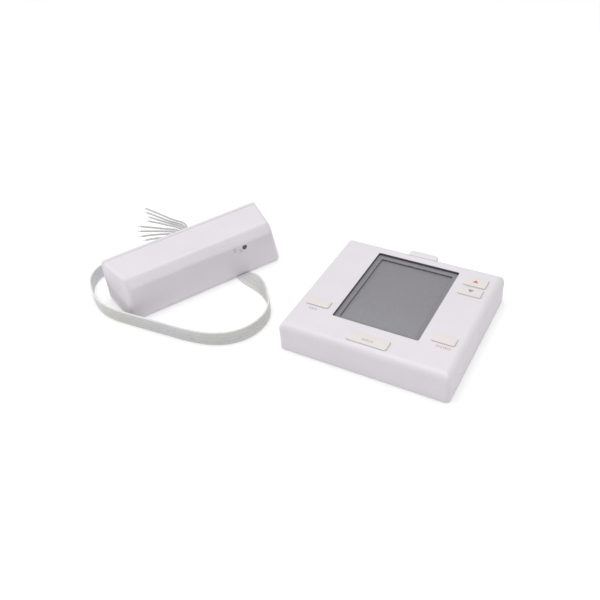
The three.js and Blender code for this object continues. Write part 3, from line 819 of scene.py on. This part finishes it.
def make_cover():
    """The controller's shell, with its openings for the display, the keys and the drawer."""
    size = (COVER_HIGH.x - COVER_LOW.x, COVER_HIGH.y - COVER_LOW.y)
    cover = slab("cover", size, COVER_CORNER, COVER_LOW.z, FACE, top=COVER_FILLET, steps=10)
    inside = (size[0] - 2 * WALL, size[1] - 2 * WALL)
    cover = carve(cover, slab("inside", inside, COVER_CORNER - WALL, -PAST, FACE - WALL, top=1 * MM))
    centre, opening = display_opening()
    rebate = [side + 2 * (LINING + FIT / 2) for side in opening]
    cover = carve(cover, slab("rebate", rebate, 1.6 * MM, FACE - CUT_DEPTH, FACE - SKIN, centre=centre))
    cover = carve(cover, slab("hole", opening, OPENING_CORNER, FACE - MM, FACE + PAST, centre=centre))
    for name in KEY_NAMES:
        centre, cap = key_size(name)
        hole = (cap[0] + 2 * KEY_FIT, cap[1] + 2 * KEY_FIT)
        cover = carve(cover, slab("hole", hole, 1.5 * MM, FACE - CUT_DEPTH, FACE + PAST, centre=centre))
    low, high = span("battery_drawer")
    cover = carve(cover, box_mesh(
        (low.x - 0.5 * MM, TOP_SIDE - PAST, low.z - FIT),
        (high.x + 0.5 * MM, TOP_SIDE + PAST, DRAWER_OPENING_TOP),
    ))
    notch = LIP_HALF + FIT
    cover = carve(cover, box_mesh(
        (-notch, TOP_SIDE - NOTCH_INWARD, NOTCH_BOTTOM), (notch, TOP_SIDE + PAST, FACE + MM)
    ))
    soften(cover, 0.35 * MM, lambda at: at.z > FACE - ON_FACE, angle=60)
    soften(cover, 0.25 * MM, lambda at: at.y > TOP_SIDE - ON_FACE and at.z > 1 * MM, angle=60)
    smooth(cover, 35)
    piece = new_piece("controller_cover", cover, SHELL, "front_unit", ["front_cover"])
    piece.modifiers.new("even_faces", "WEIGHTED_NORMAL").keep_sharp = True


def make_display():
    """The dark surround with its ledge, the clear sheet and the display itself."""
    centre, opening = display_opening()
    outer = (opening[0] + 2 * LINING, opening[1] + 2 * LINING)
    flange = (FRAME_HIGH.x - FRAME_LOW.x, FRAME_HIGH.y - FRAME_LOW.y)
    bezel = slab("bezel", outer, 1.5 * MM, LEDGE_TOP - 0.8 * MM, FACE - SKIN - 0.1 * MM, centre=centre)
    bezel = carve(bezel, slab("rim", flange, 2 * MM, FRAME_LOW.z, LEDGE_TOP - FIT, centre=centre), "UNION")
    bezel = carve(bezel, slab("well", opening, OPENING_CORNER, LEDGE_TOP, FACE + MM, centre=centre))
    view = (opening[0] - 2 * LEDGE_WIDTH, opening[1] - 2 * LEDGE_WIDTH)
    bezel = carve(bezel, slab("view", view, 0.9 * MM, FRAME_LOW.z - MM, FACE + MM, centre=centre))
    pocket = (view[0] + 4.8 * MM, view[1] + 4.8 * MM)
    bezel = carve(bezel, slab(
        "pocket", pocket, 0.6 * MM, FRAME_LOW.z - MM, LEDGE_TOP - 0.6 * MM, centre=centre
    ))
    soften(bezel, 0.12 * MM, lambda at: at.z > LEDGE_TOP - 0.1 * MM, angle=60)
    smooth(bezel, 35)
    new_piece("display_bezel", bezel, FRAME_PAINTED_SHADE, "front_unit", ["display_frame"])

    for node, name, material, slot_name, edge in (
        ("display_window", "window_sheet", CLEAR, "window_clear", 0.08 * MM),
        ("display_panel", "display_cell", GLASS, "display_glass", 0.15 * MM),
    ):
        low, high = span(node)
        middle = ((low.x + high.x) / 2, (low.y + high.y) / 2)
        sheet = slab(name, (high.x - low.x, high.y - low.y), 0.8 * MM, low.z, high.z, edge, edge, middle)
        smooth(sheet, 35)
        new_piece(name, sheet, material, "front_unit", [node])


def make_key(name):
    """A key's raised cap on its flange."""
    centre, size = key_size(name)
    low, high = span(f"{name}_button")
    cap = slab("cap", size, 1.2 * MM, low.z + 0.6 * MM, high.z, top=0.55 * MM, centre=centre)
    flange = (high.x - low.x, high.y - low.y)
    cap = carve(cap, slab("flange", flange, 1.4 * MM, low.z, low.z + MM, centre=centre), "UNION")
    smooth(cap, 35)
    new_piece(f"{name}_key", cap, KEY, f"{name}_button", [f"{name}_button"])


PRINT_SUNK, PRINT_THICKNESS = 0.005 * MM, 0.03 * MM
PRINT_RISE = 0.012 * MM  # a word's middle above the face that it is printed on
PRINT_HALF = 0.015 * MM  # and half its thickness


def word_mesh(name, word, height):
    """A word in thin relief, lying in the XY plane about its own middle."""
    text = bpy.data.curves.new(name, "FONT")
    text.body = word
    text.size = height
    text.align_x = "CENTER"
    text.align_y = "CENTER"
    text.extrude = PRINT_HALF
    text.space_character = 1.08
    holder = bpy.data.objects.new(name + "_text", text)
    scene.collection.objects.link(holder)
    graph = bpy.context.evaluated_depsgraph_get()
    mesh = bpy.data.meshes.new_from_object(holder.evaluated_get(graph))
    bpy.data.objects.remove(holder)
    return mesh


def print_shape(name, points, top, material, body):
    """A flat printed shape, a few hundredths of a millimetre thick, lying on a face."""
    rings = [[(x, y, z) for x, y in points] for z in (top - PRINT_SUNK, top + PRINT_THICKNESS)]
    new_piece(name, loft(name, rings), material, body)


def print_word(name, word, height, place, material, body):
    """A printed word, its middle at a place on a face that looks up."""
    raised = Matrix.Translation(Vector(place) + UP * PRINT_RISE)
    new_piece(name, word_mesh(name, word, height), material, body, place=raised)


def triangle(centre, half_width, tip):
    """A triangle's corners, anticlockwise; tip is its height, below zero where it points down."""
    x, y = centre
    points = [(x - half_width, y - tip / 2), (x + half_width, y - tip / 2), (x, y + tip / 2)]
    return points if tip > 0 else points[::-1]


def make_prints():
    """The arrows and words on the keys and beside them."""
    key_top = span("up_button")[1].z
    up_arrow = triangle(key_size("up")[0], 2.1 * MM, 3 * MM)
    down_arrow = triangle(key_size("down")[0], 2.1 * MM, -3 * MM)
    print_shape("up_mark", up_arrow, key_top, PRINT_RED, "up_button")
    print_shape("down_mark", down_arrow, key_top, PRINT_GREY, "down_button")
    (x, y), (_, height) = key_size("fan")
    place = (x - MM, y - height / 2 - 3.2 * MM, FACE)
    print_word("fan_label", "FAN", 3 * MM, place, PRINT_GREY, "front_unit")
    (x, y), (_, height) = key_size("system")
    place = (x + 1.6 * MM, y - height / 2 - 3 * MM, FACE)
    print_word("system_label", "SYSTEM", 2.6 * MM, place, PRINT_RED, "front_unit")
    (x, y), (_, height) = key_size("hold")
    place = (x, y - height * 0.12, key_top)
    print_word("hold_label", "HOLD", 2.8 * MM, place, PRINT_GREY, "hold_button")


def make_drawer():
    """The battery tray, whose front wall carries the finger lip."""
    low, high = span("battery_drawer")
    tray = box_mesh((low.x, low.y, low.z), (high.x, TOP_SIDE, DRAWER_RIM))
    tray = carve(tray, box_mesh(
        (low.x + DRAWER_SIDE, low.y + DRAWER_BACK, low.z + DRAWER_FLOOR),
        (high.x - DRAWER_SIDE, TOP_SIDE - DRAWER_FRONT, high.z + MM),
    ))
    half = LIP_HALF
    web = box_mesh((-half, TOP_SIDE - DRAWER_FRONT, DRAWER_RIM - MM), (half, TOP_SIDE, high.z - 1.5 * MM))
    tray = carve(tray, web, "UNION")
    lip_bottom = high.z - LIP_THICKNESS
    lip_inner = TOP_SIDE - LIP_INWARD
    depth = high.y - lip_inner
    middle = (0, high.y - depth / 2)
    lip = slab("lip", (2 * half, depth), 2.4 * MM, lip_bottom, high.z, 1 * MM, 0.6 * MM, middle)
    inner_half = box_mesh((-half, lip_inner, lip_bottom), (half, TOP_SIDE + MM, high.z))
    tray = carve(carve(tray, lip, "UNION"), inner_half, "UNION")
    soften(tray, 0.3 * MM, lambda at: at.z > 2 * MM, angle=60)
    smooth(tray, 35)
    new_piece("cell_drawer", tray, SHELL, "battery_drawer", ["battery_drawer"])


make_cover()
make_display()
for key_name in KEY_NAMES:
    make_key(key_name)
make_prints()
make_drawer()

# ---------------------------------------------------------------- receiver

BOX_HALF_DEPTH = 19 * MM
BOX_HEIGHT = span("receiver_base")[1].z
BOX_CORNER = 2.8 * MM
BOX_WALL = 2 * MM
# Half lengths: the ends narrow toward the front, and most of all toward its top edge
FRONT_BOTTOM, FRONT_TOP = 63.2 * MM, 58 * MM
BACK_BOTTOM, BACK_TOP = 65.3 * MM, 65 * MM
COVER_BACK = 15.4 * MM
BASE_FRONT = 15.9 * MM
BASE_CUT = (10 * MM, 25 * MM)  # from well in front of the base to well behind it
GROOVE_LEFT, GROOVE_RIGHT, GROOVE_TOP = 12.4 * MM, 36.4 * MM, 1.8 * MM
LIGHT_AT = (34 * MM, 24.8 * MM)
LENS_RADIUS, LENS_FLANGE, LENS_HOLE = 1.5 * MM, 2.2 * MM, 1.9 * MM
EXIT_X, EXIT_Z = -28 * MM, 7.5 * MM
EXIT_HALF = (2.6 * MM, 6.2 * MM)
SCREW_X = 50 * MM
SCREW_HOLE, SCREW_RECESS = 1.6 * MM, 3 * MM
RECESS_FLOOR = 17.6 * MM
KEYHOLE_X, KEYHOLE_Z = 58 * MM, 27 * MM
KEYHOLE_RADIUS = 2.3 * MM
# The grommet's sections: depth, half width and half height, in millimetres
GROMMET = [
    (15.7, 2.2, 5.8), (18.9, 2.2, 5.8), (19.3, 2.2, 5.8), (19.31, 4.4, 7.1), (20.3, 4.5, 7.2),
    (20.6, 4.2, 7.1), (21.2, 3.4, 6.8), (22.4, 2.7, 6.6), (23.7, 2.3, 6.45), (24, 2.0, 6.2),
]
# Distance behind the front, then what the bevelled top, rounded bottom and rounded ends are drawn in by
EDGES = [
    (0.0, 7.9, 3.4, 2.8), (0.15, 7.25, 2.5, 2.1), (0.5, 6.6, 1.7, 1.5), (1.0, 5.8, 1.15, 0.95),
    (1.6, 5.1, 0.7, 0.6), (2.5, 4.0, 0.2, 0.2), (3.5, 2.8, 0, 0), (4.6, 1.5, 0, 0), (5.3, 0.8, 0, 0),
    (6.1, 0.3, 0, 0), (7.0, 0.08, 0, 0), (8.0, 0, 0, 0),
]


def box_ring(y, top=0.0, bottom=0.0, end=0.0, wall=0.0):
    """One rounded section of the box at depth y, with its top, bottom and ends drawn in."""
    share = (y + BOX_HALF_DEPTH) / (2 * BOX_HALF_DEPTH)
    low_half = FRONT_BOTTOM + (BACK_BOTTOM - FRONT_BOTTOM) * share
    high_half = FRONT_TOP + (BACK_TOP - FRONT_TOP) * share
    low, high = bottom + wall, BOX_HEIGHT - top - wall
    outline = rounded_outline(
        2 * (low_half - end - wall), high - low, max(BOX_CORNER - wall, 0.5 * MM), (0, (low + high) / 2)
    )
    lean = 1 - high_half / low_half
    return [(x * (1 - lean * z / BOX_HEIGHT), y, z) for x, z in reversed(outline)]


def box_form(back, wall=0.0):
    """The receiver's outer form, or its cavity where a wall is given."""
    rings = []
    for behind, top, bottom, end in EDGES:
        rings.append(box_ring(behind * MM + wall - BOX_HALF_DEPTH, top * MM, bottom * MM, end * MM, wall))
    rings.append(box_ring(back, wall=wall))
    return loft("box", rings)


def make_receiver_cover():
    """The receiver's shell, with the groove that the lead passes through and the hole for the light."""
    cover = carve(box_form(COVER_BACK), box_form(COVER_BACK + MM, BOX_WALL))
    roof = box_mesh(
        (GROOVE_LEFT - 2 * MM, -BOX_HALF_DEPTH + 6 * MM, MM),
        (GROOVE_RIGHT + 2 * MM, COVER_BACK - ON_FACE, GROOVE_TOP + BOX_WALL),
    )
    reach = BOX_HALF_DEPTH + MM
    groove = box_mesh((GROOVE_LEFT, -reach, -MM), (GROOVE_RIGHT, reach, GROOVE_TOP))
    cover = carve(carve(cover, roof, "UNION"), groove)
    cover = carve(cover, drum(LENS_HOLE, -20 * MM, -10 * MM, LIGHT_AT))

    def behind_or_below(at):
        return at.y > COVER_BACK - 0.02 * MM or at.z < GROOVE_TOP + 0.1 * MM

    def round_the_light(at):
        near = math.hypot(at.x - LIGHT_AT[0], at.z - LIGHT_AT[1]) < 2.5 * MM
        return near and at.y < -BOX_HALF_DEPTH + ON_FACE

    soften(cover, 0.3 * MM, behind_or_below, angle=50)
    soften(cover, 0.2 * MM, round_the_light, angle=60)
    smooth(cover, 35)
    piece = new_piece(
        "receiver_shell", cover, SHELL, "receiver", ["receiver_cover"], RECEIVER_PLACE
    )
    piece.modifiers.new("even_faces", "WEIGHTED_NORMAL").keep_sharp = True


def make_receiver_base():
    """The receiver's back plate, with its screw recesses, keyholes and the lead's exit."""
    rings = []
    edge = 0.5 * MM
    for y, inset in (
        (BASE_FRONT, 0.25 * MM), (BASE_FRONT + 0.25 * MM, 0.0), (BOX_HALF_DEPTH - edge, 0.0),
        (BOX_HALF_DEPTH - edge * 0.3, edge * 0.3), (BOX_HALF_DEPTH, edge),
    ):
        rings.append(box_ring(y, inset, inset, inset))
    base = loft("base", rings)
    near, far = BASE_CUT
    base = carve(base, box_mesh((GROOVE_LEFT, near, -MM), (GROOVE_RIGHT, far, GROOVE_TOP)))
    base = carve(base, box_mesh(
        (EXIT_X - EXIT_HALF[0], near, EXIT_Z - EXIT_HALF[1]),
        (EXIT_X + EXIT_HALF[0], far, EXIT_Z + EXIT_HALF[1]),
    ))
    for side in (-1, 1):
        screw = (side * SCREW_X, BOX_HEIGHT / 2)
        keyhole = (side * KEYHOLE_X, KEYHOLE_Z)
        for radius, start, place in (
            (SCREW_HOLE, near, screw), (SCREW_RECESS, RECESS_FLOOR, screw), (KEYHOLE_RADIUS, near, keyhole),
        ):
            base = carve(base, drum(radius, start, far, place))
    soften(base, 0.25 * MM, lambda at: at.y > BOX_HALF_DEPTH - ON_FACE, angle=60)
    smooth(base, 35)
    new_piece("receiver_back", base, SHELL, "receiver", ["receiver_base"], RECEIVER_PLACE)


def make_light():
    """The light's lens, with the flange that holds it behind the front wall."""
    lens = drum(LENS_RADIUS, -19.2 * MM, -10 * MM, LIGHT_AT, 40)
    lens = carve(lens, drum(LENS_FLANGE, -15.8 * MM, -14.6 * MM, LIGHT_AT, 40), "UNION")
    soften(lens, 0.45 * MM, lambda at: at.y < -BOX_HALF_DEPTH, angle=60, segments=5)
    smooth(lens, 50)
    new_piece("light_lens", lens, LENS, "receiver", ["light_pipe"], RECEIVER_PLACE)


def make_receiver_mark():
    """Two thin letters printed on the front, beside the light."""
    upright = Matrix.Rotation(math.pi / 2, 4, "X")
    for name, letter, x, z in (("mark_r", "R", 26, 24.7), ("mark_x", "X", 30.5, 22.8)):
        place = RECEIVER_PLACE @ Matrix.Translation((x * MM, -BOX_HALF_DEPTH - PRINT_RISE, z * MM)) @ upright
        new_piece(name, word_mesh(name, letter, 5.6 * MM), PRINT_FAINT, "receiver", place=place)


def make_grommet():
    """The soft boot that the lead comes out of, narrowing outward."""
    rings = []
    for y, half_width, half_height in GROMMET:
        outline = rounded_outline(2 * half_width * MM, 2 * half_height * MM, 1.4 * MM, (EXIT_X, EXIT_Z), 5)
        rings.append([(x, y * MM, z) for x, z in reversed(outline)])
    boot = loft("boot", rings)
    smooth(boot)
    new_piece(
        "grommet_boot", boot, INSULATION, "receiver", ["cable_grommet"], RECEIVER_PLACE
    )


make_receiver_cover()
make_receiver_base()
make_light()
make_grommet()
make_receiver_mark()

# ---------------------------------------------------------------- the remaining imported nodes

for entry in frame["record"]["subparts"]:
    node_object = frame["nodes"][entry["node"]]
    node_object.data.materials.clear()
    node_object.data.materials.append(NODE_MATERIALS[entry["material_slot"]])

# ---------------------------------------------------------------- floor


FLOOR_REACH = 6.0
FLOOR_GLOW = 0.22


def add_floor():
    """A plain white paper floor that glows faintly."""
    corners = [(x * FLOOR_REACH, y * FLOOR_REACH, 0) for x, y in ((-1, -1), (1, -1), (1, 1), (-1, 1))]
    floor = bpy.data.objects.new("floor", as_mesh("floor", corners, [(0, 1, 2, 3)]))
    scene.collection.objects.link(floor)
    shader = Shader("floor_paper", (0.8, 0.8, 0.8), 0.8)
    shader.bump(shader.noise(500, 3), 0.02 * MM)
    shader.principled.inputs["Emission Color"].default_value = (1, 1, 1, 1)
    shader.principled.inputs["Emission Strength"].default_value = FLOOR_GLOW
    floor.data.materials.append(shader.material)


add_studio()
add_floor()
